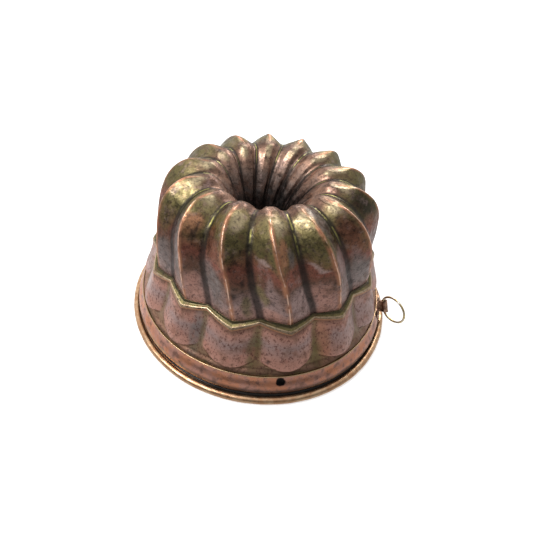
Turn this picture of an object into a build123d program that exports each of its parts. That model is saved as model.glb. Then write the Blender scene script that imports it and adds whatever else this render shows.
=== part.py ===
from build123d import *
from math import atan, cos, degrees, hypot, radians, sin, sqrt
import os

# Fluted copper ring mould (a Turk's head, or bundt pan), standing mouth down on its rolled rim.
# Frame: origin in the middle of the rim's base plane, +Z up through the crown. Millimetres.

# ---------------------------------------------------------------- driving dimensions

flutes = 14
pitch = 360 / flutes
first_crest = -99.5      # azimuth of one crest's foot, degrees
sheet = 1.0              # copper sheet
fit_gap = 0.12           # room between two sheets that are brazed or soldered together

rim_radius = 110.0       # outside of the rolled rim
roll_radius = 2.8        # outside of the roll
base_wear = 0.15         # depth of the flat that wear has put under the roll
roll_wrap = 230          # how far the sheet is wrapped past the bottom of the wire, degrees

band_top_z = 21.6        # top edge of the plain band
band_top_radius = 100.8
band_slope = 0.32        # growth of the band's radius for each mm down
bead_z = 8.8             # where the band turns in to its groove
groove_z = 5.9
groove_radius = 104.4    # outside of the band in the groove
lap = 7.5                # how far the skirt goes down inside the band

# Outlines as (radius, height, swirl in degrees), from the foot of the wall, over the top and
# down into the hole. A crest line and a valley line share one flute.
crest_line = [
    (86.8, 57.0, 0.2),
    (87.0, 68.0, -0.8),
    (86.5, 80.0, -2.4),
    (85.0, 92.0, -4.1),
    (82.5, 104.0, -6.8),
    (76.0, 117.0, -9.8),
    (62.0, 126.6, -12.6),
    (52.5, 127.0, -12.8),
    (43.0, 126.5, -12.8),
    (30.0, 113.5, -9.0),
    (20.5, 96.0, -3.0),
    (17.2, 81.0, 1.5),
    (17.2, 70.0, 4.0),
]
valley_line = [
    (82.8, 58.5, -0.4),
    (81.6, 69.0, -1.7),
    (79.3, 81.5, -4.6),
    (77.6, 93.0, -7.0),
    (72.3, 105.8, -9.3),
    (65.5, 115.0, -10.6),
    (57.0, 121.0, -11.5),
    (51.2, 122.8, -11.8),
    (45.0, 123.0, -11.8),
    (34.5, 116.5, -9.0),
    (25.5, 101.0, -3.5),
    (18.6, 83.0, 1.5),
    (17.2, 70.0, 4.0),
]
valley_round = 0.36      # share of a flank that is rounded into the valley

# The star-shaped ledge under the crown, at a crest and at a valley: (radius, height, swirl).
ledge_foot_crest = (87.2, 61.1, 0.0)
ledge_foot_valley = (82.7, 63.2, -0.85)
ledge_lip_crest = (91.8, 55.5, 0.0)
ledge_lip_valley = (85.6, 60.6, -0.85)
braze_size = 1.3

tube_top_z = 75.0
tube_bottom_z = 4.0
tube_top_radius = 16.85  # outside of the tube, in the neck of the crown
tube_bottom_radius = 13.0
tube_bend_z = 66.0       # the tube is straight above this height
neck_z = 70.0            # where the crown's neck ends round the tube

wire_gap = 0.1
hanger_azimuth = -8.2
hanger_z = 16.1          # height of the strap's middle on the band
strap_width = 12.0
strap_sheet = 0.6
strap_leg = 11.5         # from the middle of the strap to the end of one leg
eye_radius = 1.05        # inside of the strap's long eye
eye_reach = 5.0          # from the band to the wire in the eye
eye_end = 6.4            # from the band to the far centre of the long eye
rivet_spot = 7.6         # from the middle of the strap to a rivet
rivet_radius = 1.15
rivet_head_radius = 2.1
rivet_head_height = 0.9
rivet_hole_length = 12   # longer than the three sheets are thick
ring_radius = 11.15      # centre line of the ring's wire
ring_wire_radius = 0.85
ring_chord = 6.4         # half the chord that the circle would cut off at the eye
ring_bend_pull = 0.3     # how far the straight part's ends carry on into the bend
ring_straight = 6.3      # half the length of wire that is straight, through the eye
ring_swing = -39.9       # where the ring hangs, from straight out, degrees
ring_twist = -14.3       # how far the bent wire's round part leans, degrees

os.makedirs("parts", exist_ok=True)


# ---------------------------------------------------------------- fluted sheets


def inset(line, depth):
    """Shift a (radius, height, swirl) outline to its left by depth, with mitred corners."""
    shifted = []
    for i, (r, z, swirl) in enumerate(line):
        before, after = line[max(i - 1, 0)], line[min(i + 1, len(line) - 1)]
        normals = []
        for (r0, z0, _), (r1, z1, _) in ((before, line[i]), (line[i], after)):
            length = hypot(r1 - r0, z1 - z0)
            if length > 0:
                normals.append(((z0 - z1) / length, (r1 - r0) / length))
        nr = sum(n[0] for n in normals) / len(normals)
        nz = sum(n[1] for n in normals) / len(normals)
        scale = depth / (nr * nr + nz * nz)
        shifted.append((r + nr * scale, z + nz * scale, swirl))
    return shifted


def across(u):
    """Depth of the flute, 0 at a crest to 1 in a valley, at the share u of the way between."""
    steepness = 1 / (1 - valley_round / 2)
    if u < 1 - valley_round:
        return steepness * u
    return 1 - steepness / (2 * valley_round) * (1 - u) ** 2


def edge_between(crest_side, valley_side, u, side_of_crest):
    """One meridian edge of a fluted sheet, the share u of the way from crest to valley."""
    depth = across(u)
    spots = []
    for crest, valley in zip(crest_side, valley_side):
        r, z, swirl = (c + (v - c) * depth for c, v in zip(crest, valley))
        angle = radians(first_crest + side_of_crest * u * pitch / 2 + swirl)
        spots.append((r * cos(angle), r * sin(angle), z))
    with BuildLine() as meridian:
        if len(spots) > 2:
            Spline(*spots)
        else:
            Line(*spots)
    return meridian.edge()


def fluted_ring(crest_sides, valley_sides):
    """Closed solid whose section runs through crest_sides at each crest and valley_sides
    in each valley. A side is a list of spots: two make a straight side, more a smooth one."""
    shares = (0, (1 - valley_round) / 2, 1 - valley_round, 1 - valley_round / 2, 1)
    faces = []
    for side_of_crest in (-1, 1):
        for crest_side, valley_side in zip(crest_sides, valley_sides):
            edges = [edge_between(crest_side, valley_side, u, side_of_crest) for u in shares]
            for first, second in zip(edges, edges[1:]):
                faces.append(Face.make_surface_from_curves(first, second))
    turned = [face.rotate(Axis.Z, k * pitch) for k in range(flutes) for face in faces]
    return Solid(Shell(turned))


def closed_section(corners):
    """Straight sides round a list of corners, back to the first."""
    return [[a, b] for a, b in zip(corners, corners[1:] + corners[:1])]


def sheet_section(outside, thickness):
    """The four sides of a sheet: outside, far edge, inside and near edge."""
    inside = inset(outside, thickness)
    return [outside, [outside[-1], inside[-1]], inside[::-1], [inside[0], outside[0]]]


# The flanks stand at a slope to the meridian plane, so the outlines are set in by more.
flank_sheet = 1.1 * sheet

with BuildPart() as crown_shell:
    add(fluted_ring(sheet_section(crest_line, flank_sheet), sheet_section(valley_line, flank_sheet)))

# ---------------------------------------------------------------- ledge and skirt

hem_radius = band_top_radius - sheet - fit_gap
lap_radius = hem_radius + band_slope * lap


def skirt_corners(foot, lip):
    """Corners of the ledge and skirt sheet, outside from the foot down, then back up inside."""
    outside = [foot, lip, (hem_radius, band_top_z, 0), (lap_radius, band_top_z - lap, 0)]
    inside = inset(outside, -sheet)
    # The cut edge of the ledge is upright, so that it stands clear of the crown's wall.
    fall = (foot[1] - lip[1]) / (lip[0] - foot[0])
    inside[0] = (foot[0], foot[1] - sheet * hypot(1, fall), foot[2])
    return closed_section(outside + inside[::-1])


with BuildPart() as skirt_shell:
    add(fluted_ring(
        skirt_corners(ledge_foot_crest, ledge_lip_crest),
        skirt_corners(ledge_foot_valley, ledge_lip_valley),
    ))


def braze_corners(foot, lip):
    """Corners of the brass fillet between the crown's wall and the ledge."""
    r, z, swirl = foot
    fall = (z - lip[1]) / (lip[0] - r)
    run = braze_size / hypot(1, fall)
    return closed_section([
        (r, z + fit_gap / 2, swirl),
        (r + run, z - run * fall + fit_gap / 2, swirl),
        (r, z + braze_size, swirl),
    ])


with BuildPart() as crown_braze:
    add(fluted_ring(
        braze_corners(ledge_foot_crest, ledge_lip_crest),
        braze_corners(ledge_foot_valley, ledge_lip_valley),
    ))

# ---------------------------------------------------------------- band, rolled rim and wire

roll_centre = (rim_radius - roll_radius, roll_radius - base_wear)
roll_middle = roll_radius - sheet / 2
wall_start = (roll_centre[0] - roll_middle, roll_centre[1])

with BuildPart() as base_collar:
    with BuildSketch(Plane.XZ):
        with BuildLine():
            CenterArc(roll_centre, roll_middle, 180, 90 + roll_wrap)
            bead_radius = band_top_radius + band_slope * (band_top_z - bead_z)
            Spline(
                wall_start,
                (groove_radius - sheet / 2, groove_z),
                (bead_radius - sheet / 2, bead_z),
                tangents=[(0, 1), (-band_slope, 1)],
            )
            Line((bead_radius - sheet / 2, bead_z), (band_top_radius - sheet / 2, band_top_z))
        trace(line_width=sheet)
    revolve(axis=Axis.Z)
    split(bisect_by=Plane.XY, keep=Keep.TOP)

with BuildPart() as rim_wire:
    with BuildSketch(Plane.XZ):
        with Locations(roll_centre):
            Circle(roll_radius - sheet - wire_gap)
    revolve(axis=Axis.Z)

# ---------------------------------------------------------------- centre tube

with BuildPart() as centre_tube:
    with BuildSketch(Plane.XZ):
        with BuildLine():
            Polyline(
                (tube_bottom_radius - sheet, tube_bottom_z),
                (tube_bottom_radius, tube_bottom_z),
                (tube_top_radius, tube_bend_z),
                (tube_top_radius, tube_top_z),
                (tube_top_radius - sheet, tube_top_z),
                (tube_top_radius - sheet, tube_bend_z),
                close=True,
            )
        make_face()
    revolve(axis=Axis.Z)


with BuildPart() as tube_braze:
    with BuildSketch(Plane.XZ):
        with BuildLine():
            inner, top = tube_top_radius + fit_gap / 2, neck_z - 2 * fit_gap
            Polyline((inner, top), (inner + braze_size, top), (inner, top - braze_size), close=True)
        make_face()
    revolve(axis=Axis.Z)

# ---------------------------------------------------------------- strap, rivets and ring

slope_angle = degrees(atan(band_slope))
band_radius = band_top_radius + band_slope * (band_top_z - hanger_z)
band_curve = band_radius / cos(radians(slope_angle))    # the band's radius, across the strap


def at_hanger(x, y, z):
    """Vector turned from the XZ plane to the hanger's azimuth."""
    return Vector(x, y, z).rotate(Axis.Z, hanger_azimuth)


outward = at_hanger(cos(radians(slope_angle)), 0, sin(radians(slope_angle)))
eye_axis = at_hanger(-sin(radians(slope_angle)), 0, cos(radians(slope_angle)))
strap_middle = at_hanger(band_radius, 0, hanger_z)
strap_plane = Plane(strap_middle - eye_axis * strap_width / 2, x_dir=outward, z_dir=eye_axis)


def rivet_plane(side):
    """Plane on the band under one rivet, its z direction square to the sheet."""
    turn = side * degrees(rivet_spot / band_curve)
    middle = strap_middle - outward * band_curve
    square = outward.rotate(Axis((0, 0, 0), eye_axis), turn)
    return Plane(middle + square * band_curve, x_dir=eye_axis, z_dir=square)


rivet_planes = [rivet_plane(-1), rivet_plane(1)]
strap_back = band_curve + fit_gap    # the face of the legs that lies on the band

with BuildPart() as hanger_strap:
    with BuildSketch(strap_plane):
        with Locations((-band_curve, 0)):
            Circle(strap_back + strap_sheet)
        Rectangle(2 * eye_reach, 2 * strap_leg, mode=Mode.INTERSECT)
        with Locations((eye_reach / 2, 0)):
            Rectangle(eye_reach, 2 * strap_sheet)
        with Locations(((eye_reach + eye_end) / 2, 0)):
            SlotCenterToCenter(eye_end - eye_reach, 2 * (eye_radius + strap_sheet))
            SlotCenterToCenter(eye_end - eye_reach, 2 * eye_radius, mode=Mode.SUBTRACT)
        with Locations((-band_curve, 0)):
            Circle(strap_back, mode=Mode.SUBTRACT)
    extrude(amount=strap_width)
    with Locations(*rivet_planes):
        Cylinder(rivet_radius + fit_gap / 2, rivet_hole_length, mode=Mode.SUBTRACT)

for sheet_part in (base_collar, skirt_shell):
    with sheet_part:
        with Locations(*rivet_planes):
            Cylinder(rivet_radius + fit_gap / 2, rivet_hole_length, mode=Mode.SUBTRACT)

strap_front = strap_sheet + 2 * fit_gap     # the two faces that the rivets' heads lie on,
skirt_back = 2 * sheet + 2 * fit_gap        # out from and in from the band's outside

with BuildPart() as hanger_rivets:
    for plane in rivet_planes:
        with BuildSketch(Plane(plane.origin, x_dir=plane.x_dir, z_dir=plane.y_dir)):
            with BuildLine():
                ThreePointArc(
                    (0, -strap_front - rivet_head_height),
                    (rivet_head_radius * 0.6, -strap_front - rivet_head_height * 0.72),
                    (rivet_head_radius, -strap_front),
                )
                Polyline(
                    (rivet_head_radius, -strap_front),
                    (rivet_radius, -strap_front),
                    (rivet_radius, skirt_back),
                    (rivet_head_radius, skirt_back),
                    (rivet_head_radius * 0.8, skirt_back + rivet_head_height / 2),
                    (0, skirt_back + rivet_head_height / 2),
                    (0, -strap_front - rivet_head_height),
                )
            make_face()
        revolve(axis=Axis(plane.origin, plane.z_dir))

eye_middle = strap_middle + outward * eye_reach
ring_up = eye_axis.rotate(Axis((0, 0, 0), outward), ring_twist)
ring_out = outward.rotate(Axis((0, 0, 0), ring_up), ring_swing)
ring_middle = eye_middle + ring_out * sqrt(ring_radius ** 2 - ring_chord ** 2)


def on_ring(angle):
    """Point on the round part of the ring, at an angle up from straight out."""
    turn = radians(angle)
    return ring_middle + (ring_out * cos(turn) + ring_up * sin(turn)) * ring_radius


ring_bottom, ring_top = (eye_middle + eye_axis * side * ring_straight for side in (-1, 1))
ring_spots = [on_ring(angle) for angle in range(120, -121, -24)]

with BuildPart() as hanging_ring:
    with BuildLine() as ring_bow:
        Spline(
            ring_top, *ring_spots, ring_bottom,
            tangents=(eye_axis, eye_axis), tangent_scalars=(ring_bend_pull, ring_bend_pull),
        )
    with BuildSketch(Plane(ring_top, z_dir=eye_axis)):
        Circle(ring_wire_radius)
    sweep(path=ring_bow.line)
    with BuildSketch(Plane(ring_bottom, z_dir=eye_axis)):
        Circle(ring_wire_radius)
    extrude(amount=2 * ring_straight)

# ---------------------------------------------------------------- export

nodes = {
    "crown_shell": crown_shell,
    "skirt_shell": skirt_shell,
    "crown_braze": crown_braze,
    "base_collar": base_collar,
    "rim_wire": rim_wire,
    "centre_tube": centre_tube,
    "tube_braze": tube_braze,
    "hanger_strap": hanger_strap,
    "hanger_rivets": hanger_rivets,
    "hanging_ring": hanging_ring,
}
for name, node in nodes.items():
    node.part.label = name
    export_step(node.part, f"parts/{name}.step")
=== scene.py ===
import math

import bpy
import numpy as np
from mathutils import Matrix, Vector, noise


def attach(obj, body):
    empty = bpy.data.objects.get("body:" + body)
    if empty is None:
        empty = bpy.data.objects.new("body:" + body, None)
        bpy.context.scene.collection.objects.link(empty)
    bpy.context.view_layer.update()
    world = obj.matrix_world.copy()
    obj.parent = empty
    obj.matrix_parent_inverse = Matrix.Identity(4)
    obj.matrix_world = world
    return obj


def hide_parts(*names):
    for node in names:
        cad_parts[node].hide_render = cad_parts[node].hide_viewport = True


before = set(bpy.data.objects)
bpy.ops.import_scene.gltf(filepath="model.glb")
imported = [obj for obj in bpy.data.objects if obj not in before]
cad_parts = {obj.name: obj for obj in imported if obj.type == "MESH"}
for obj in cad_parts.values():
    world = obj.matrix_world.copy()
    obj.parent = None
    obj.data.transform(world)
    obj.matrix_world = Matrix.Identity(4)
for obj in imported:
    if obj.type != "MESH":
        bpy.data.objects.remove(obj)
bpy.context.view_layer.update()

# An old copper ring mould, standing mouth down. Shapes are worked out in millimetres and
# written to the meshes in metres, in the frame of the CAD model.

MM = 0.001

# ---------------------------------------------------------------- shape

FLUTES = 14
PITCH = 360 / FLUTES
FIRST_CREST = -99.5      # azimuth of one crest's foot, degrees
SHEET = 1.0              # thickness of the copper
FIT_GAP = 0.12           # room between two sheets that are soldered together

# (radius, height, swirl in degrees) from the foot, over the top and down into the hole.
CREST_LINE = [
    (86.8, 57.0, 0.2), (87.0, 68.0, -0.8), (86.5, 80.0, -2.4), (85.0, 92.0, -4.1),
    (82.5, 104.0, -6.8), (76.0, 117.0, -9.8), (62.0, 126.8, -12.6), (43.0, 126.8, -12.8),
    (30.0, 113.5, -9.0), (20.5, 96.0, -3.0), (17.4, 81.0, 1.5), (17.2, 70.0, 4.0),
]
VALLEY_LINE = [
    (82.8, 58.5, -0.4), (81.6, 69.0, -1.7), (79.3, 81.5, -4.6), (77.6, 93.0, -7.0),
    (72.3, 105.8, -9.3), (65.5, 115.0, -10.6), (57.0, 121.0, -11.5), (45.0, 123.0, -11.8),
    (34.5, 116.5, -9.0), (25.5, 101.0, -3.5), (18.6, 83.0, 1.5), (17.2, 70.0, 4.0),
]
VALLEY_ROUND = 0.2       # share of a flank that is rounded into the valley
CREST_ROUND = 0.045      # how blunt a crest is
TOP_FLAT = 126.7         # the crests' tops are worn flat at this height

LEDGE_FOOT = ((87.1, 61.2), (82.6, 63.3))     # at a crest, in a valley
LEDGE_LIP = ((91.5, 56.6), (85.5, 61.2))
VALLEY_SKEW = -0.85      # the ledge's inner corners stand this far round from half way
BAND_TOP = (100.8, 21.6)         # radius, height
BAND_SLOPE = 0.32        # growth of the band's radius for each mm down
BAND_BULGE = 15.0        # height where the band stands out most
BULGE_OUT = 0.8
BULGE_HALF_HEIGHT = 3.6
BULGE_GAP = 9            # degrees either side of the hanger where the band lies flatter
HANGER_AZIMUTH = -8.2
BEAD_Z = 8.8             # where the band turns in to its groove
GROOVE = (103.5, 5.3)
RIM_RADIUS = 110.0
ROLL_RADIUS = 2.8
BASE_WEAR = 0.15         # depth of the flat that wear has put under the roll
ROLL_WRAP = 230          # how far the sheet is wrapped past the bottom of the wire, degrees
LAP = 7.5                # how far the skirt goes down inside the band


def smooth_line(points, count, partner=None):
    """Natural cubic spline through points, at count places. Two partner lines share the
    same parameter, so that place i of one lies across the flank from place i of the other."""
    points = np.array(points, float)
    chords = np.hypot(*np.diff(points[:, :2], axis=0).T)
    if partner is not None:
        chords = (chords + np.hypot(*np.diff(np.array(partner, float)[:, :2], axis=0).T)) / 2
    knots = np.concatenate([[0], np.cumsum(chords)])
    n = len(knots)
    h = np.diff(knots)
    matrix = np.zeros((n, n))
    matrix[0, 0] = matrix[-1, -1] = 1
    right = np.zeros((n, points.shape[1]))
    for i in range(1, n - 1):
        matrix[i, i - 1:i + 2] = h[i - 1], 2 * (h[i - 1] + h[i]), h[i]
        right[i] = 6 * ((points[i + 1] - points[i]) / h[i] - (points[i] - points[i - 1]) / h[i - 1])
    bend = np.linalg.solve(matrix, right)
    t = np.linspace(0, knots[-1], count)
    k = np.clip(np.searchsorted(knots, t, side="right") - 1, 0, n - 2)
    a = ((knots[k + 1] - t) / h[k])[:, None]
    b = 1 - a
    curve = (a ** 3 - a) * bend[k] + (b ** 3 - b) * bend[k + 1]
    return a * points[k] + b * points[k + 1] + curve * (h[k] ** 2)[:, None] / 6


def inset(line, depth):
    """Shift a sampled (radius, height, ...) line to its left by depth."""
    line = np.array(line, float)
    along = np.gradient(line[:, :2], axis=0)
    along /= np.linalg.norm(along, axis=1)[:, None]
    line[:, 0] -= along[:, 1] * depth
    line[:, 1] += along[:, 0] * depth
    return line


def smoothstep(low, high, x):
    t = np.clip((x - low) / (high - low), 0, 1)
    return t * t * (3 - 2 * t)


def across(u, crest_round=CREST_ROUND, valley_round=VALLEY_ROUND):
    """Depth of the flute, 0 at a crest to 1 in a valley, at the share u of the way between."""
    steep = 1 / (1 - valley_round / 2)
    depth = np.where(
        u < 1 - valley_round, steep * u, 1 - steep / (2 * valley_round) * (1 - u) ** 2)
    return (np.sqrt(depth ** 2 + crest_round ** 2) - crest_round) / (
        math.sqrt(1 + crest_round ** 2) - crest_round)


def waves(points, size, seed, octaves=2):
    """Smooth noise between about -1 and 1 at each point, in lumps of the given size in mm."""
    shift = Vector((seed * 17.3, seed * 5.1, seed * 9.7))
    flat = points.reshape(-1, 3) / size
    values = [noise.fractal(Vector(p) + shift, 0.7, 2.0, octaves) for p in flat]
    return np.array(values).reshape(points.shape[:-1])


def sway(points):
    """The mould isn't quite round or level: a slow shift of every sheet, in mm."""
    r = np.hypot(points[..., 0], points[..., 1])
    angle = np.arctan2(points[..., 1], points[..., 0])
    grow = 0.25 * np.sin(2 * angle + 0.7) + 0.15 * np.sin(5 * angle + points[..., 2] / 30)
    moved = points.copy()
    scale = 1 + grow / 100
    moved[..., 0] *= scale
    moved[..., 1] *= scale
    return moved


def around(half=16, cluster=1.5):
    """Flute index, side of the crest and share u of each column of a fluted grid."""
    steps = np.linspace(0, 1, half + 1) ** cluster
    one = [(1, u) for u in steps[:-1]] + [(-1, u) for u in steps[:0:-1]]
    index, side, share = [], [], []
    for k in range(FLUTES):
        for s, u in one:
            index.append(k if s > 0 else k + 1)
            side.append(s)
            share.append(u)
    return np.array(index), np.array(side), np.array(share)


def normals_of(grid):
    """Unit normals of a grid that closes round its second axis."""
    down = np.gradient(grid, axis=0)
    turn = np.roll(grid, -1, axis=1) - np.roll(grid, 1, axis=1)
    normal = np.cross(turn, down)
    return normal / np.maximum(np.linalg.norm(normal, axis=2), 1e-9)[..., None]


def grid_object(name, grid, body, material_rows=None, layers=None, paint=None,
                flip=False):
    """Mesh from a grid[row, column] of points in mm, closed round its rows and its columns.
    layers are named values at each point, paint is a colour at each, and flip turns the
    faces over where the rows run down the outside."""
    rows, columns = grid.shape[:2]
    mesh = bpy.data.meshes.new(name)
    r, c = np.meshgrid(np.arange(rows), np.arange(columns), indexing="ij")
    r2, c2 = (r + 1) % rows, (c + 1) % columns
    quads = np.stack([r * columns + c, r * columns + c2, r2 * columns + c2, r2 * columns + c], -1)
    if flip:
        quads = quads[..., ::-1]
    mesh.from_pydata((grid.reshape(-1, 3) * MM).tolist(), [], quads.reshape(-1, 4).tolist())
    for layer, values in (layers or {}).items():
        attribute = mesh.attributes.new(layer, "FLOAT", "POINT")
        attribute.data.foreach_set("value", np.asarray(values, np.float32).ravel())
    if paint is not None:
        attribute = mesh.attributes.new("paint", "FLOAT_COLOR", "POINT")
        attribute.data.foreach_set("color", np.asarray(paint, np.float32).ravel())
    mesh.polygons.foreach_set("use_smooth", np.ones(len(mesh.polygons), bool))
    if material_rows is not None:
        which = np.repeat(np.asarray(material_rows, np.int32), columns)
        mesh.polygons.foreach_set("material_index", which)
    mesh.update()
    piece = bpy.data.objects.new(name, mesh)
    bpy.context.scene.collection.objects.link(piece)
    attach(piece, body)
    return piece


# ---------------------------------------------------------------- patina, painted shade and highlights

OLIVE = (0.17, 0.14, 0.06)
GOLDEN = (0.24, 0.19, 0.09)
BROWN = (0.15, 0.085, 0.06)
RED = (0.27, 0.10, 0.07)
DARK = (0.03, 0.026, 0.024)
PINK = (0.52, 0.27, 0.21)
ORANGE = (0.46, 0.21, 0.12)
MAUVE = (0.38, 0.26, 0.24)
STEEL = (0.22, 0.19, 0.18)
PALE = (0.50, 0.36, 0.33)

# (along, colour) from the foot over the top and into the hole; from along 0.72 on the tones
# darken to near black as painted shade down the hole.
CROWN_TONES = [
    (0.0, PINK), (0.10, MAUVE), (0.20, BROWN), (0.28, RED), (0.36, OLIVE), (0.44, OLIVE),
    (0.50, GOLDEN), (0.57, BROWN), (0.64, (0.40, 0.24, 0.17)), (0.72, (0.25, 0.18, 0.15)),
    (0.82, (0.10, 0.085, 0.08)), (1.0, DARK),
]
# (colour, lobe, along, half width in lobes, half length along) where the patina differs; the
# facets added below are partly a painted highlight. A whole number of lobes is a crest, counted
# from FIRST_CREST, and a half is a valley.
CROWN_MARKS = [
    (GOLDEN, 12.25, 0.46, 0.2, 0.05), (STEEL, 12.25, 0.10, 0.25, 0.10),
    (OLIVE, 12.25, 0.32, 0.2, 0.08), (STEEL, 12.8, 0.30, 0.2, 0.12),
    (ORANGE, 13.2, 0.39, 0.2, 0.05), (DARK, 13.26, 0.35, 0.05, 0.04),
    (PINK, 13.2, 0.09, 0.2, 0.09), (RED, 13.75, 0.35, 0.2, 0.05), (STEEL, 13.7, 0.18, 0.15, 0.10),
    (GOLDEN, 0.2, 0.49, 0.2, 0.05), (DARK, 0.3, 0.23, 0.06, 0.02), (OLIVE, 0.3, 0.10, 0.10, 0.05),
    (DARK, 0.11, 0.154, 0.05, 0.01), (PALE, 0.75, 0.325, 0.10, 0.015),
    (MAUVE, 0.8, 0.18, 0.08, 0.08),
    (GOLDEN, 0.63, 0.17, 0.07, 0.07), (PINK, 0.75, 0.05, 0.2, 0.05),
    (ORANGE, 1.12, 0.39, 0.13, 0.05),
    (STEEL, 1.3, 0.34, 0.08, 0.04), (MAUVE, 1.25, 0.12, 0.2, 0.10), (OLIVE, 1.75, 0.38, 0.2, 0.07),
    (PALE, 1.78, 0.295, 0.15, 0.015), (PINK, 1.75, 0.10, 0.2, 0.10), (STEEL, 2.25, 0.48, 0.2, 0.08),
    (MAUVE, 2.25, 0.27, 0.2, 0.07), (MAUVE, 2.25, 0.10, 0.25, 0.10), (GOLDEN, 2.75, 0.47, 0.2, 0.03),
    (RED, 2.75, 0.38, 0.2, 0.07), (STEEL, 2.75, 0.15, 0.2, 0.14), (PINK, 3.25, 0.20, 0.25, 0.20),
    (DARK, 3.75, 0.40, 0.2, 0.08), (MAUVE, 3.75, 0.12, 0.25, 0.12),
]
# (lobe, along) of the facets that wear has polished on the shoulder of each crest; their
# light tone is partly that wear and partly a painted highlight.
WORN_AND_HIGHLIT_FACETS = [
    (12.15, 0.53), (13.2, 0.50), (0.2, 0.48), (1.2, 0.48), (1.8, 0.50), (2.83, 0.50), (3.85, 0.53),
    (4.85, 0.56), (5.85, 0.57), (6.95, 0.60), (8.0, 0.61), (9.15, 0.60), (10.2, 0.60), (11.2, 0.55),
]
FACET_WEAR_AND_HIGHLIGHT_TONE = (0.52, 0.42, 0.26)
FACET_SIZE = (0.15, 0.035)
CROWN_MARKS += [(FACET_WEAR_AND_HIGHLIGHT_TONE, lobe, along, *FACET_SIZE) for lobe, along in WORN_AND_HIGHLIT_FACETS]
# The same lists for the skirt, along it from the ledge down to the band.
SKIRT_TONES = [
    (0.0, BROWN), (0.12, PINK), (0.35, MAUVE), (0.65, PINK), (0.92, PINK), (0.98, BROWN),
    (1.0, OLIVE),
]
SKIRT_MARKS = [
    (STEEL, 13.4, 0.5, 0.12, 0.5), (OLIVE, 0.45, 0.5, 0.12, 0.5), (ORANGE, 1.6, 0.5, 0.18, 0.45),
    (OLIVE, 1.5, 0.7, 0.12, 0.3), (MAUVE, 2.6, 0.5, 0.7, 0.5), (PALE, 11.5, 0.4, 0.5, 0.4),
    (DARK, 0.71, 0.72, 0.05, 0.05),
]


MARK_STRENGTH = 0.75


def painted(points, lobe, along, tones, marks):
    """Colour of each point: tones by place along the flute, then softly edged marks."""
    drift_round, drift_along = 0.06, 0.035
    drift = drift_round * waves(points, 9, 11)
    spot = along + drift_along * waves(points, 12, 12)
    steps, colours = zip(*tones)
    colour = np.stack([np.interp(spot, steps, channel) for channel in zip(*colours)], -1)
    for tone, mark_lobe, mark_along, wide, long in marks:
        off = (lobe[None, :] + drift - mark_lobe + FLUTES / 2) % FLUTES - FLUTES / 2
        reach = (off / wide) ** 2 + ((spot - mark_along) / long) ** 2
        share = MARK_STRENGTH * (1 - smoothstep(0.1, 1.8, reach))[..., None]
        colour = colour * (1 - share) + np.array(tone) * share
    return np.concatenate([colour, np.ones((*colour.shape[:2], 1))], -1)


def with_inside(outside, inside_shape):
    """Values for a sheet's outside rows, then nothing for the same points inside."""
    return np.concatenate([outside, np.zeros((*inside_shape, *outside.shape[2:]))])


# ---------------------------------------------------------------- crown

CROWN_ROWS = 170
SHOULDER = (0.52, 0.62)  # along, from where the crests turn from sharp to blunt
FLANK_SHEET = 1.1        # flanks slope, so a sheet's outline is set in by more than SHEET
INNER_CREST_ROUND = 0.1
TOP_SOFTNESS = 0.22      # how softly a flank meets the worn flat


def crown_grid(crest, valley, crest_round, worn):
    """Points of one face of the crown, their depth in the flute and each column's lobe. worn
    is for the outside, whose crests are flat on top."""
    index, side, share = around()
    rise = np.linspace(0, 1, CROWN_ROWS)[:, None]
    on_top = smoothstep(*SHOULDER, rise)
    sharp = across(share, crest_round)[None, :]
    blunt = (0.12 * share + 0.88 * smoothstep(0.25, 0.9, share))[None, :]
    b = sharp * (1 - on_top) + blunt * on_top
    c, v = crest[:, None, :], valley[:, None, :]
    place = c + (v - c) * b[..., None]
    angle = np.radians(FIRST_CREST + (index + side * share / 2)[None, :] * PITCH + place[..., 2])
    radius, height = place[..., 0], place[..., 1]
    if worn:
        height = TOP_FLAT - TOP_SOFTNESS * np.logaddexp(0, (TOP_FLAT - height) / TOP_SOFTNESS)
    grid = np.stack([radius * np.cos(angle), radius * np.sin(angle), height], -1)
    return sway(grid), b, (index + side * share / 2) % FLUTES


def make_crown():
    crest = smooth_line(CREST_LINE, CROWN_ROWS, VALLEY_LINE)
    valley = smooth_line(VALLEY_LINE, CROWN_ROWS, CREST_LINE)
    outer, depth, lobe = crown_grid(crest, valley, CREST_ROUND, True)
    inside_lines = inset(crest, FLANK_SHEET), inset(valley, FLANK_SHEET)
    inner, _, _ = crown_grid(*inside_lines, INNER_CREST_ROUND, False)
    inner[..., 2] = np.minimum(inner[..., 2], TOP_FLAT - SHEET)
    normal = normals_of(outer)
    flank = 1 - np.exp(-(depth / 0.12) ** 2)
    dents = 0.22 * waves(outer, 24, 1) + 0.10 * waves(outer, 7, 2)
    outer = outer + normal * (dents * flank)[..., None]
    grid = np.concatenate([outer, inner[::-1]])
    inside = inner.shape[:2]
    share = around()[2]
    rise = np.repeat(np.linspace(0, 1, CROWN_ROWS)[:, None], outer.shape[1], 1)
    layers = {
        "depth": with_inside(np.repeat(share[None, :], CROWN_ROWS, 0), inside),
        "along": with_inside(rise, inside),
    }
    paint = with_inside(painted(outer, lobe, rise, CROWN_TONES, CROWN_MARKS), inside)
    rows = [0] * (CROWN_ROWS - 1) + [1] * (CROWN_ROWS + 1)
    piece = grid_object("crown", grid, "mould", rows, layers, paint=paint)
    piece.data.materials.append(crown_copper())
    piece.data.materials.append(tinned())
    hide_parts("crown_shell")
    return piece


# ---------------------------------------------------------------- ledge and skirt


ON_LEDGE, ON_EDGE, ON_WALL, IN_BAND = range(4)
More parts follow.
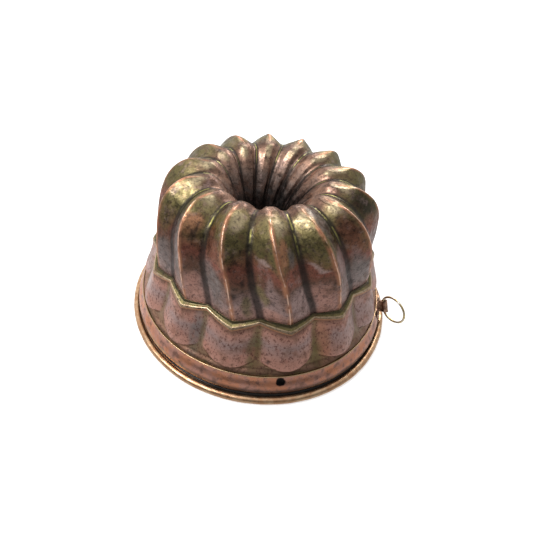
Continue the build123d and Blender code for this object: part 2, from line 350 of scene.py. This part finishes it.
# Steps (out, up) from the lip of the ledge round its edge.
EDGE_STEPS = ((0.15, -0.1), (0.25, -0.3), (0.25, -0.6), (0.1, -0.85), (-0.2, -1.0), (-0.45, -1.3))
EDGE_FOOT = (-0.5, -1.5)
LEDGE_HOLLOW = 0.6       # depth of the ledge's inner part
LEDGE_SWELL = 0.4        # height of the bead along its outer part
LEDGE_SPLIT = 0.55       # share of the ledge that is hollow
SKIRT_SWELL = 1.9        # how far each lobe of the skirt bulges
SKIRT_GROOVE = 2.0
SKIRT_STEPS = 60


def make_skirt():
    index, side, share = around()
    (foot_c, foot_v), (lip_c, lip_v) = LEDGE_FOOT, LEDGE_LIP
    hem = BAND_TOP[0] - SHEET - FIT_GAP
    rows, kinds, amounts = [], [], []

    def add_row(crest_point, valley_point, b, kind, amount):
        rows.append((crest_point, valley_point, b))
        kinds.append(kind)
        amounts.append(amount)

    star = across(share, 0.02, 0.02)
    for t in np.linspace(0, 1, 15):
        if t < LEDGE_SPLIT:
            lift = -LEDGE_HOLLOW * math.sin(math.pi * t / LEDGE_SPLIT)
        else:
            lift = LEDGE_SWELL * math.sin(math.pi * (t - LEDGE_SPLIT) / (1 - LEDGE_SPLIT))
        spots = []
        for foot, lip in ((foot_c, lip_c), (foot_v, lip_v)):
            run, fall = lip[0] - foot[0], foot[1] - lip[1]
            length = math.hypot(run, fall)
            raised = lift * min(1, length / 6)
            spots.append((foot[0] + run * t + raised * fall / length,
                          foot[1] - fall * t + raised * run / length))
        add_row(spots[0], spots[1], star, ON_LEDGE, t)
    for dr, dz in EDGE_STEPS:
        add_row((lip_c[0] + dr, lip_c[1] + dz), (lip_v[0] + dr, lip_v[1] + dz), star, ON_EDGE, 1)
    top_c, top_v = ((lip[0] + EDGE_FOOT[0], lip[1] + EDGE_FOOT[1]) for lip in (lip_c, lip_v))
    for w in np.linspace(0, 1, SKIRT_STEPS + 1)[1:]:
        crest_point = (
            top_c[0] + (hem - top_c[0]) * w + SKIRT_SWELL * math.sin(math.pi * w ** 2.4),
            top_c[1] + (BAND_TOP[1] - top_c[1]) * w)
        valley_point = (
            top_v[0] + (hem - top_v[0]) * w
            - SKIRT_GROOVE * smoothstep(0, 0.3, w) * (1 - smoothstep(0.88, 0.98, w)),
            top_v[1] + (BAND_TOP[1] - top_v[1]) * w)
        rounder = smoothstep(0, 0.25, w)
        b = star * (1 - rounder) + across(share, 0.5, 0.03) * rounder
        end = 0.93 - 0.22 * share ** 2      # each lobe stops in a rounded end above the band
        b = 1 - (1 - b) * (1 - smoothstep(end - 0.07, end + 0.02, w))
        add_row(crest_point, valley_point, b, ON_WALL, w)
    for w in (0.33, 0.66, 1.0):
        low = (hem + BAND_SLOPE * LAP * w, BAND_TOP[1] - LAP * w)
        add_row(low, low, star, IN_BAND, 1)
    angle = np.radians(FIRST_CREST + (index + side * share / 2) * PITCH)
    grid = []
    for (crest_point, valley_point, b), kind in zip(rows, kinds):
        skew = np.radians(VALLEY_SKEW) * share
        r = crest_point[0] + (valley_point[0] - crest_point[0]) * b
        height_blend = share if kind == ON_WALL else b
        z = crest_point[1] + (valley_point[1] - crest_point[1]) * height_blend
        grid.append(np.stack([r * np.cos(angle + skew), r * np.sin(angle + skew), z], -1))
    outer = sway(np.array(grid))
    normal = normals_of(outer)
    normal *= np.sign((normal[..., 0] * outer[..., 0] + normal[..., 1] * outer[..., 1]).mean())
    kind = np.array(kinds)[:, None]
    give = np.select([kind == ON_WALL, kind == IN_BAND], [1.0, 0.0], 0.25)
    dents = 0.25 * waves(outer, 22, 3) + 0.1 * waves(outer, 7, 4)
    outer = outer + normal * (give * dents)[..., None]
    inner = outer - normal * SHEET
    inner[0, :, 2] = outer[0, :, 2] - 1.4       # the ledge's cut edge stands upright
    inner[0, :, :2] = outer[0, :, :2]
    grid = np.concatenate([outer, inner[::-1]])
    depth = np.array([b for _, _, b in rows])
    inside = depth.shape

    def by_row(values):
        return np.repeat(values, depth.shape[1], 1)

    amount = by_row(np.array(amounts)[:, None])
    layers = {
        "depth": with_inside(depth, inside),
        "along": with_inside(amount, inside),
        "ledge": with_inside(by_row((kind == ON_LEDGE) | (kind == ON_EDGE)), inside),
        "edge": with_inside(by_row(kind == ON_EDGE), inside),
    }
    material_rows = [0] * (len(rows) - 1) + [1] * (len(rows) + 1)
    lobe = (index + side * share / 2) % FLUTES
    paint = with_inside(painted(outer, lobe, amount, SKIRT_TONES, SKIRT_MARKS), inside)
    piece = grid_object("skirt", grid, "mould", material_rows, layers,
                        paint=paint, flip=True)
    piece.data.materials.append(skirt_copper())
    piece.data.materials.append(tinned())
    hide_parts("skirt_shell", "crown_braze")
    return piece


# ---------------------------------------------------------------- turned pieces


def lathe(name, section, columns, wobble, seed, bulge=0.0):
    """Closed (radius, height) section turned round the z axis, uneven by wobble, and standing
    out by bulge at the height BAND_BULGE except behind the hanger."""
    section = np.array(section, float)
    angle = np.linspace(0, 2 * math.pi, columns, endpoint=False)[None, :]
    r, z = section[:, :1], section[:, 1:2]
    grid = sway(np.stack([r * np.cos(angle), r * np.sin(angle), z + 0 * angle], -1))
    from_hanger = (np.degrees(angle) - HANGER_AZIMUTH + 180) % 360 - 180
    free = 1 - np.exp(-(from_hanger / BULGE_GAP) ** 4)
    swell = bulge * np.exp(-((z - BAND_BULGE) / BULGE_HALF_HEIGHT) ** 2) * free
    lumps = wobble * waves(grid, 9, seed) + swell
    outward = grid.copy()
    outward[..., 2] = 0
    outward /= np.linalg.norm(outward, axis=2)[..., None]
    return grid_object(name, grid + outward * lumps[..., None], "mould")


def thick_line(line, thickness):
    """Closed section of a sheet whose middle follows the line."""
    left, right = inset(line, thickness / 2), inset(line, -thickness / 2)
    return np.concatenate([right, left[::-1]])


def make_collar():
    middle = ROLL_RADIUS - SHEET / 2
    centre = np.array([RIM_RADIUS - ROLL_RADIUS, ROLL_RADIUS - BASE_WEAR])
    wrap = np.radians(np.linspace(90 + ROLL_WRAP, 0, 60) + 180)
    roll = centre + middle * np.stack([np.cos(wrap), np.sin(wrap)], -1)
    bead_radius = BAND_TOP[0] + BAND_SLOPE * (BAND_TOP[1] - BEAD_Z)
    start = roll[-1]
    bead_middle = bead_radius - SHEET / 2
    wall = smooth_line([
        (start[0], start[1]), (start[0] - 0.15, start[1] + 1.2),
        (GROOVE[0] - SHEET / 2, GROOVE[1]), (bead_middle - 0.05, BEAD_Z - 0.8),
        (bead_middle + 0.1, BEAD_Z + 0.6), (bead_middle - 1.3, BEAD_Z + 4.6),
        (BAND_TOP[0] + SHEET * 0.2, BAND_TOP[1] - 3.5), (BAND_TOP[0] - SHEET / 2, BAND_TOP[1]),
    ], 60)
    section = thick_line(np.concatenate([roll, wall[1:]]), SHEET)
    section[:, 1] = np.maximum(section[:, 1], 0)
    piece = lathe("collar", section, 540, wobble=0.10, seed=5, bulge=BULGE_OUT)
    piece.data.materials.append(band_copper())
    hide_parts("base_collar")
    return piece


def make_tube():
    neck, foot = 16.85 - SHEET / 2, 13.0 - SHEET / 2
    top, bend, bottom = 75.0, 66.0, 4.0
    line = smooth_line([(foot, bottom), (14.4, 30), (neck, bend), (neck, top)], 60)
    piece = lathe("tube", thick_line(line, SHEET), 96, wobble=0.06, seed=6)
    piece.data.materials.append(tinned())
    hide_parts("centre_tube")
    return piece


# ---------------------------------------------------------------- strap and ring

HANGER_Z = 16.1
STRAP_WIDTH = 12.0
STRAP_SHEET = 0.6
STRAP_LEG = 11.5         # from the middle of the strap to the end of one leg
EYE_RADIUS = 1.05        # inside of the strap's long eye
EYE_REACH = 5.0          # from the band to the wire in the eye
EYE_END = 6.4            # from the band to the far centre of the eye
FLARE_START = 3.2        # from the band to where the two neck sheets part
NECK = 0.31              # each of the two neck sheets' middle stands this far to its side
RING_RADIUS = 11.15      # centre line of the ring's wire
RING_WIRE = 0.85
RING_CHORD = 6.4         # half the chord that the circle would cut off at the eye
RING_STRAIGHT = 6.3      # half the length of wire that is straight, through the eye
RING_SWING = -39.9       # where the ring hangs, from straight out, degrees
RING_TWIST = -14.3       # how far the round part leans, degrees
BEND_PULL = 5.0          # how far the straight part's ends carry on into the bend
BOW_END = 120            # the round part of the ring stops this far from straight out, degrees


def turned(vector, axis, degrees):
    return Matrix.Rotation(math.radians(degrees), 3, axis) @ vector


slope = math.atan(BAND_SLOPE)
UP = Vector((0, 0, 1))
OUTWARD = turned(Vector((math.cos(slope), 0, math.sin(slope))), UP, HANGER_AZIMUTH)
EYE_AXIS = turned(Vector((-math.sin(slope), 0, math.cos(slope))), UP, HANGER_AZIMUTH)
SIDEWAYS = EYE_AXIS.cross(OUTWARD)
BAND_RADIUS = BAND_TOP[0] + BAND_SLOPE * (BAND_TOP[1] - HANGER_Z)
STRAP_MIDDLE = turned(Vector((BAND_RADIUS, 0, HANGER_Z)), UP, HANGER_AZIMUTH)
BAND_CURVE = BAND_RADIUS / math.cos(slope)


def at_strap(out, side, up):
    """Point near the strap, from distances out from the band, sideways and along the eye."""
    return STRAP_MIDDLE + OUTWARD * out + SIDEWAYS * side + EYE_AXIS * up


def make_strap():
    middle = EYE_RADIUS + STRAP_SHEET / 2
    base = FIT_GAP + STRAP_SHEET / 2
    bend_radius = 0.9
    side = np.linspace(STRAP_LEG, NECK + bend_radius, 14)
    leg = np.stack([base - side ** 2 / (2 * BAND_CURVE), side], -1)
    bend = np.radians(np.linspace(270, 180, 7)[1:])
    fold = np.array([base + bend_radius, NECK + bend_radius]) + bend_radius * np.stack(
        [np.sin(bend), np.cos(bend)], -1)
    t = np.linspace(0, 1, 9)[:, None]
    flare = np.concatenate([
        FLARE_START + (EYE_REACH - FLARE_START) * t,
        NECK + (middle - NECK) * smoothstep(0, 1, t)], 1)
    half_path = np.concatenate([leg, fold, flare])
    arc = np.radians(np.linspace(0, 180, 24))
    hump = np.stack([EYE_END + middle * np.sin(arc), middle * np.cos(arc)], -1)
    path = np.concatenate([half_path, hump, half_path[::-1] * [1, -1]])
    section = thick_line(path, STRAP_SHEET)
    levels = np.linspace(-STRAP_WIDTH / 2, STRAP_WIDTH / 2, 25)
    verts, faces = [], []
    count = len(section)
    for level in levels:
        for out, across_band in section:
            verts.append(at_strap(out, across_band, level) * MM)
    for i in range(len(levels) - 1):
        for j in range(count):
            j2 = (j + 1) % count
            faces.append((i * count + j, i * count + j2, (i + 1) * count + j2, (i + 1) * count + j))
    half_count = count // 2
    for i in (0, len(levels) - 1):
        for j in range(half_count - 1):
            a, b = i * count + j, i * count + j + 1
            c, d = i * count + count - 2 - j, i * count + count - 1 - j
            faces.append((a, b, c, d) if i == 0 else (d, c, b, a))
    mesh = bpy.data.meshes.new("strap")
    mesh.from_pydata([tuple(v) for v in verts], [], faces)
    mesh.update()
    piece = bpy.data.objects.new("strap", mesh)
    bpy.context.scene.collection.objects.link(piece)
    bevel = piece.modifiers.new("worn_edges", "BEVEL")
    bevel.width, bevel.segments = 0.16 * MM, 2
    mesh.polygons.foreach_set("use_smooth", np.ones(len(mesh.polygons), bool))
    piece.data.materials.append(strap_copper())
    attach(piece, "mould")
    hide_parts("hanger_strap")
    return piece


def make_ring():
    up = Matrix.Rotation(math.radians(RING_TWIST), 3, OUTWARD) @ EYE_AXIS
    out = Matrix.Rotation(math.radians(RING_SWING), 3, up) @ OUTWARD
    eye = STRAP_MIDDLE + OUTWARD * EYE_REACH
    middle = eye + out * math.sqrt(RING_RADIUS ** 2 - RING_CHORD ** 2)
    flat = out.cross(up)

    def bow(angle):
        a = math.radians(angle)
        return middle + (out * math.cos(a) + up * math.sin(a)) * RING_RADIUS

    def corner(start, pull, end, pull_end):
        """Points from start to end, leaving along pull and arriving along pull_end."""
        spots = []
        for t in np.linspace(0, 1, 14)[1:-1]:
            near, far = float(1 - 3 * t ** 2 + 2 * t ** 3), float(3 * t ** 2 - 2 * t ** 3)
            leaving, arriving = float(t - 2 * t ** 2 + t ** 3), float(t ** 3 - t ** 2)
            spots.append(start * near + end * far + pull * leaving + pull_end * arriving)
        return spots

    lean = math.radians(BOW_END)
    leave = (out * math.sin(lean) - up * math.cos(lean)) * BEND_PULL
    arrive = (-out * math.sin(lean) - up * math.cos(lean)) * BEND_PULL
    through_eye = EYE_AXIS * BEND_PULL
    top, bottom = eye + EYE_AXIS * RING_STRAIGHT, eye - EYE_AXIS * RING_STRAIGHT
    centres = [bottom.lerp(top, float(t)) for t in np.linspace(0, 1, 24)]
    centres += corner(top, through_eye, bow(BOW_END), leave)
    centres += [bow(a) for a in np.linspace(BOW_END, -BOW_END, 130)]
    centres += corner(bow(-BOW_END), arrive, bottom, through_eye)
    count, sides = len(centres), 20
    grid = []
    for i, spot in enumerate(centres):
        tangent = (centres[(i + 1) % count] - centres[i - 1]).normalized()
        across_wire = (flat - tangent * flat.dot(tangent)).normalized()
        other = tangent.cross(across_wire)
        grid.append([
            tuple(spot + (other * math.cos(b) + across_wire * math.sin(b)) * RING_WIRE)
            for b in np.linspace(0, 2 * math.pi, sides, endpoint=False)])
    piece = grid_object("ring", np.array(grid), "ring")
    piece.data.materials.append(ring_brass())
    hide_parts("hanging_ring")
    return piece


# ---------------------------------------------------------------- materials


class Nodes:
    """Short names for the nodes of one node tree."""

    def __init__(self, tree):
        self.tree = tree

    def node(self, kind, **settings):
        made = self.tree.nodes.new(kind)
        for key, value in settings.items():
            setattr(made, key, value)
        return made

    def link(self, value, socket):
        if isinstance(value, (int, float)):
            socket.default_value = value
        elif isinstance(value, tuple):
            socket.default_value = (*value, 1)
        else:
            self.tree.links.new(value, socket)

    def math(self, operation, a, b=0.0):
        made = self.node("ShaderNodeMath", operation=operation)
        self.link(a, made.inputs[0])
        self.link(b, made.inputs[1])
        return made.outputs[0]

    def range(self, value, low, high, to_low=0.0, to_high=1.0):
        made = self.node("ShaderNodeMapRange", interpolation_type="SMOOTHSTEP")
        for socket, x in zip(made.inputs[:5], (value, low, high, to_low, to_high)):
            self.link(x, socket)
        return made.outputs[0]

    def product(self, first, *others):
        for factor in others:
            first = self.math("MULTIPLY", first, factor)
        return first


class Shader(Nodes):
    """The nodes of one material, whose sizes are in mm."""

    def __init__(self, name):
        self.material = bpy.data.materials.new(name)
        self.material.use_nodes = True
        super().__init__(self.material.node_tree)
        self.surface = self.tree.nodes["Principled BSDF"]
        self.place = self.node("ShaderNodeTexCoord").outputs["Object"]

    def layer(self, name):
        return self.node("ShaderNodeAttribute", attribute_name=name).outputs["Fac"]

    def paint(self):
        return self.node("ShaderNodeAttribute", attribute_name="paint").outputs["Color"]

    def spot(self, middle, radius):
        """1 within an uneven round spot, by its middle and radius in mm."""
        made = self.node("ShaderNodeVectorMath", operation="DISTANCE")
        self.link(self.place, made.inputs[0])
        made.inputs[1].default_value = [c * MM for c in middle]
        reach = self.math("DIVIDE", made.outputs["Value"], radius * MM)
        ragged = self.math("ADD", reach, self.product(self.noise(2), 0.7))
        return self.range(ragged, 1.5, 1.2)

    def height_and_radius(self):
        """Height and distance from the turning axis, both in mm."""
        made = self.node("ShaderNodeSeparateXYZ")
        self.link(self.place, made.inputs[0])
        x, y, z = (self.math("DIVIDE", part, MM) for part in made.outputs)
        squares = self.math("ADD", self.product(x, x), self.product(y, y))
        return z, self.math("SQRT", squares)

    def weathered(self, base):
        """Break a colour up with brown and dark mottling at three sizes."""
        for size, low, amount, tone in (
                (7, 0.50, 0.55, BROWN), (3.2, 0.52, 0.55, DARK), (1.3, 0.50, 0.5, DARK)):
            base = self.over(base, tone, self.range(self.noise(size, 6, 0.65), low, 0.66), amount)
        return base

    def stretched(self, x, y, z):
        made = self.node("ShaderNodeMapping")
        made.inputs["Scale"].default_value = (x, y, z)
        self.link(self.place, made.inputs["Vector"])
        return made.outputs["Vector"]

    def noise(self, size, detail=4.0, rough=0.55, place=None):
        """Noise with lumps of about size mm."""
        made = self.node("ShaderNodeTexNoise")
        self.link(place or self.place, made.inputs["Vector"])
        made.inputs["Scale"].default_value = 1000 / size
        made.inputs["Detail"].default_value = detail
        made.inputs["Roughness"].default_value = rough
        return made.outputs["Fac"]

    def mix(self, share, a, b):
        made = self.node("ShaderNodeMix", data_type="RGBA")
        self.link(share, made.inputs["Factor"])
        self.link(a, made.inputs[6])
        self.link(b, made.inputs[7])
        return made.outputs[2]

    def over(self, base, tone, *shares):
        """The base with a tone laid over it, by the product of the shares."""
        return self.mix(self.product(*shares), base, tone)

    def bump(self, height, depth, below=None):
        made = self.node("ShaderNodeBump")
        made.inputs["Distance"].default_value = depth * MM
        self.link(height, made.inputs["Height"])
        if below is not None:
            self.link(below, made.inputs["Normal"])
        return made.outputs["Normal"]

    def finish(self, colour, metal, roughness, normal=None):
        self.link(colour, self.surface.inputs["Base Color"])
        self.link(metal, self.surface.inputs["Metallic"])
        self.link(roughness, self.surface.inputs["Roughness"])
        if normal is not None:
            self.link(normal, self.surface.inputs["Normal"])
        return self.material


BRIGHT = (0.90, 0.60, 0.45)
BRASS = (0.62, 0.52, 0.24)
VALLEY_GREEN = (0.30, 0.27, 0.09)
WARM_PINK = (0.50, 0.22, 0.16)
PIT = (0.13, 0.06, 0.045)
STAIN = (0.20, 0.11, 0.07)
# brassy seam along the ledge's bead, made lighter as a painted highlight
LEDGE_BEAD_BRASS_AND_HIGHLIGHT = (0.52, 0.38, 0.25)
BAND_ORANGE = (0.60, 0.26, 0.15)
BAND_EDGE = (0.50, 0.34, 0.20)
ROLL_DULL = (0.52, 0.29, 0.16)
ROLL_BRIGHT = (0.66, 0.44, 0.27)
# painted shade: near black for the dark inside of the two holes below
HOLE_SHADE = (0.008, 0.007, 0.007)
BAND_HOLE = (22.8, -100.3, 18.3)     # middles of two small holes, only painted: black spots as the shade inside them
LEDGE_HOLE = (65.8, -62.9, 57.0)


def fine_bump(s, depth=0.05):
    small = s.noise(1.4, 3)
    lumps = s.noise(6, 3)
    return s.bump(small, depth, s.bump(lumps, depth * 4))


def crown_copper():
    s = Shader("aged_copper_crown")
    depth, along = s.layer("depth"), s.layer("along")
    outside = s.range(along, 0.58, 0.52)
    base = s.over(s.paint(), MAUVE, s.range(s.noise(9, 6, 0.7), 0.52, 0.68), 0.5)
    base = s.weathered(base)
    # painted shade: the flanks darken towards the bottom of each valley
    base = s.over(base, DARK, s.range(depth, 0.78, 0.92), 0.8)
    patchy = s.range(s.noise(9, 4), 0.42, 0.58)
    upper = s.product(s.range(along, 0.30, 0.42), s.range(along, 0.72, 0.66))
    base = s.over(base, VALLEY_GREEN, s.range(depth, 0.94, 0.98), patchy, upper)
    base = s.over(base, ORANGE, s.range(depth, 0.16, 0.02), s.range(s.noise(10), 0.3, 0.6), outside)
    glint = s.range(s.noise(7, 4), 0.40, 0.62)
    base = s.over(base, BRIGHT, s.range(depth, 0.035, 0.0), glint, outside)
    rough = s.range(s.noise(4, 5), 0.35, 0.65, 0.28, 0.56)
    return s.finish(base, 0.94, rough, fine_bump(s, 0.09))


def skirt_copper():
    s = Shader("aged_copper_skirt")
    depth, along = s.layer("depth"), s.layer("along")
    base = s.over(s.paint(), WARM_PINK, s.range(s.noise(8, 5), 0.5, 0.7), 0.5)
    base = s.over(base, OLIVE, s.range(depth, 0.78, 0.98), s.range(along, 1.0, 0.86, 0.15, 0.6))
    pits = s.noise(1.8, 5, 0.75, s.stretched(1, 1, 0.7))
    base = s.over(base, PIT, s.range(pits, 0.51, 0.62), 0.85)
    base = s.over(base, STAIN, s.range(s.noise(11, 5, 0.7), 0.5, 0.64), 0.45)
    # the ledge: olive in its hollow, light along its bead, where a brass seam colour is lightened as
    # a painted highlight
    ledge = s.mix(s.range(along, 0.62, 0.72), OLIVE, LEDGE_BEAD_BRASS_AND_HIGHLIGHT)
    # painted shade: the ledge's hollow darkens towards the crown's foot, under the crown wall
    ledge = s.over(ledge, DARK, s.range(along, 0.55, 0.3), 0.5)
    base = s.mix(s.layer("ledge"), base, s.weathered(ledge))
    base = s.mix(s.layer("edge"), base, ORANGE)
    # painted shade: a black spot stands for the dark inside of a small hole in the ledge
    base = s.mix(s.spot(LEDGE_HOLE, 1.5), base, HOLE_SHADE)
    rough = s.range(s.noise(8), 0.3, 0.7, 0.28, 0.46)
    dented = s.bump(pits, 0.06)
    return s.finish(base, 0.94, rough, s.bump(s.noise(6, 3), 0.2, dented))


def band_copper():
    s = Shader("aged_copper_band")
    height, radius = s.height_and_radius()
    base = s.mix(s.range(s.noise(10), 0.4, 0.6), BAND_ORANGE, PINK)
    base = s.over(base, BROWN, s.range(s.noise(5, 5), 0.5, 0.68), 0.6)
    # painted shade: the band darkens downwards to where it turns under
    base = s.over(base, DARK, s.range(height, 13.5, 10.0), 0.8)
    # painted shade: the groove under the band is painted black
    base = s.mix(s.range(height, 8.2, 7.0), base, DARK)
    roll = s.mix(s.range(s.noise(6), 0.4, 0.65), ROLL_DULL, ROLL_BRIGHT)
    base = s.mix(s.range(radius, 104.7, 105.5), base, roll)
    base = s.mix(s.range(height, 21.0, 21.4), base, BAND_EDGE)
    # painted shade: a black spot stands for the dark inside of a small hole in the band
    base = s.mix(s.spot(BAND_HOLE, 3.6), base, HOLE_SHADE)
    base = s.mix(s.range(s.noise(2.4, 6, 0.7), 0.60, 0.70), base, DARK)
    rough = s.range(s.noise(8), 0.3, 0.7, 0.24, 0.42)
    return s.finish(base, 0.95, rough, fine_bump(s))


def strap_copper():
    s = Shader("aged_copper_strap")
    base = s.mix(s.range(s.noise(3), 0.35, 0.6), (0.52, 0.32, 0.22), BROWN)
    return s.finish(base, 0.95, s.range(s.noise(3), 0.3, 0.7, 0.25, 0.45), fine_bump(s))


def ring_brass():
    s = Shader("brass_wire")
    base = s.mix(s.range(s.noise(5), 0.35, 0.65), (0.75, 0.58, 0.25), (0.85, 0.80, 0.70))
    return s.finish(base, 1.0, s.range(s.noise(3), 0.3, 0.7, 0.18, 0.35), s.bump(s.noise(1.0), 0.02))


def tinned():
    s = Shader("old_tin_lining")
    base = s.mix(s.range(s.noise(12), 0.4, 0.65), (0.42, 0.40, 0.37), (0.20, 0.16, 0.13))
    return s.finish(base, 0.85, s.range(s.noise(6), 0.3, 0.7, 0.4, 0.6), fine_bump(s))


def dark_iron():
    s = Shader("iron_wire")
    base = s.mix(s.range(s.noise(4), 0.4, 0.6), (0.10, 0.09, 0.08), (0.16, 0.08, 0.05))
    return s.finish(base, 0.8, 0.6, s.bump(s.noise(1.0), 0.03))


def braze_brass():
    s = Shader("braze")
    base = s.mix(s.range(s.noise(4), 0.4, 0.6), BRASS, BROWN)
    return s.finish(base, 0.9, 0.45, fine_bump(s))


# ---------------------------------------------------------------- pieces

make_crown()
make_skirt()
make_collar()
make_tube()
make_strap()
make_ring()

# These nodes keep the CAD model's shape and only get a material.
CARRIED_OVER = (
    ("rim_wire", dark_iron), ("tube_braze", braze_brass), ("hanger_rivets", strap_copper))
for node, make in CARRIED_OVER:
    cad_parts[node].data.materials.clear()
    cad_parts[node].data.materials.append(make())

# ---------------------------------------------------------------- camera, floor and light


LENS = 28.57333          # focal length in mm, for a sensor 36 mm wide
ELEVATION = 41.35        # degrees above the horizon
DISTANCE = 0.3603        # from the camera to TARGET, m
TARGET = (0, 0, 0.05)
CAMERA_TURN = (-4.32, 1.86, 6.15)    # yaw, pitch and roll away from TARGET, degrees
CAMERA_SHIFT = (0.0719, -0.0663)


def make_camera():
    """Looks down on the object from the front, a little off its middle."""
    elevation = math.radians(ELEVATION)
    yaw, pitch, roll = (math.radians(a) for a in CAMERA_TURN)
    forward = Vector((0, math.cos(elevation), -math.sin(elevation)))
    right = Vector((1, 0, 0))
    up = right.cross(forward)
    spot = -forward * DISTANCE + Vector(TARGET)
    forward, right = (math.cos(yaw) * forward + math.sin(yaw) * right,
                      math.cos(yaw) * right - math.sin(yaw) * forward)
    forward, up = (math.cos(pitch) * forward + math.sin(pitch) * up,
                   math.cos(pitch) * up - math.sin(pitch) * forward)
    right, up = (math.cos(roll) * right + math.sin(roll) * up,
                 math.cos(roll) * up - math.sin(roll) * right)
    data = bpy.data.cameras.new("camera")
    data.sensor_width = 36
    data.lens = LENS
    data.shift_x, data.shift_y = CAMERA_SHIFT
    data.clip_start, data.clip_end = 0.01, 50
    camera = bpy.data.objects.new("camera", data)
    turn = Matrix((right, up, -forward)).transposed().to_4x4()
    camera.matrix_world = Matrix.Translation(spot) @ turn
    bpy.context.scene.collection.objects.link(camera)
    bpy.context.scene.camera = camera


def make_floor():
    mesh = bpy.data.meshes.new("floor")
    size = 3.0
    mesh.from_pydata([(-size, -size, 0), (size, -size, 0), (size, size, 0), (-size, size, 0)],
                     [], [(0, 1, 2, 3)])
    floor = bpy.data.objects.new("floor", mesh)
    bpy.context.scene.collection.objects.link(floor)
    s = Shader("pale_floor")
    s.surface.inputs["Emission Color"].default_value = (1, 1, 1, 1)
    s.surface.inputs["Emission Strength"].default_value = 0.55
    mesh.materials.append(s.finish((0.75, 0.75, 0.75), 0.0, 0.9))
    floor.visible_glossy = False


def make_world():
    """A white backdrop for the camera; reflections see a dim front and a bright back."""
    world = bpy.data.worlds.new("studio")
    bpy.context.scene.world = world
    world.use_nodes = True
    s = Nodes(world.node_tree)
    background = s.tree.nodes["Background"]
    split = s.node("ShaderNodeSeparateXYZ")
    s.link(s.node("ShaderNodeTexCoord").outputs["Generated"], split.inputs[0])
    x, y, z = split.outputs
    walls = s.range(y, -0.8, 0.6, 0.15, 0.98)
    floor = s.range(y, -0.8, 0.5, 0.62, 1.0)
    level = s.math("ADD", s.product(walls, s.range(z, -0.15, -0.02)),
                   s.product(floor, s.range(z, -0.02, -0.15)))
    overhead = s.range(z, 0.5, 0.95)
    level = s.math("ADD", s.product(level, s.math("SUBTRACT", 1.0, overhead)),
                   s.product(overhead, 0.8))
    level = s.product(level, s.range(x, -0.9, 0.9, 1.15, 0.75))
    seen = s.node("ShaderNodeLightPath").outputs["Is Camera Ray"]
    s.link(s.math("MAXIMUM", level, seen), background.inputs["Color"])
    background.inputs["Strength"].default_value = 1.0


def soft_light(name, place, target, size, power):
    data = bpy.data.lights.new(name, "AREA")
    data.shape = "RECTANGLE"
    data.size, data.size_y = size
    data.energy = power
    lamp = bpy.data.objects.new(name, data)
    lamp.location = place
    lamp.rotation_euler = (Vector(target) - Vector(place)).to_track_quat("-Z", "Y").to_euler()
    bpy.context.scene.collection.objects.link(lamp)


make_camera()
make_floor()
make_world()
LIT_SPOT = (0, 0, 0.1)
soft_light("key", (-0.5, -0.25, 0.9), LIT_SPOT, (0.5, 0.5), 7)
soft_light("back", (0.3, 0.9, 0.8), LIT_SPOT, (0.8, 0.4), 6)
bpy.context.scene.view_settings.view_transform = "Standard"
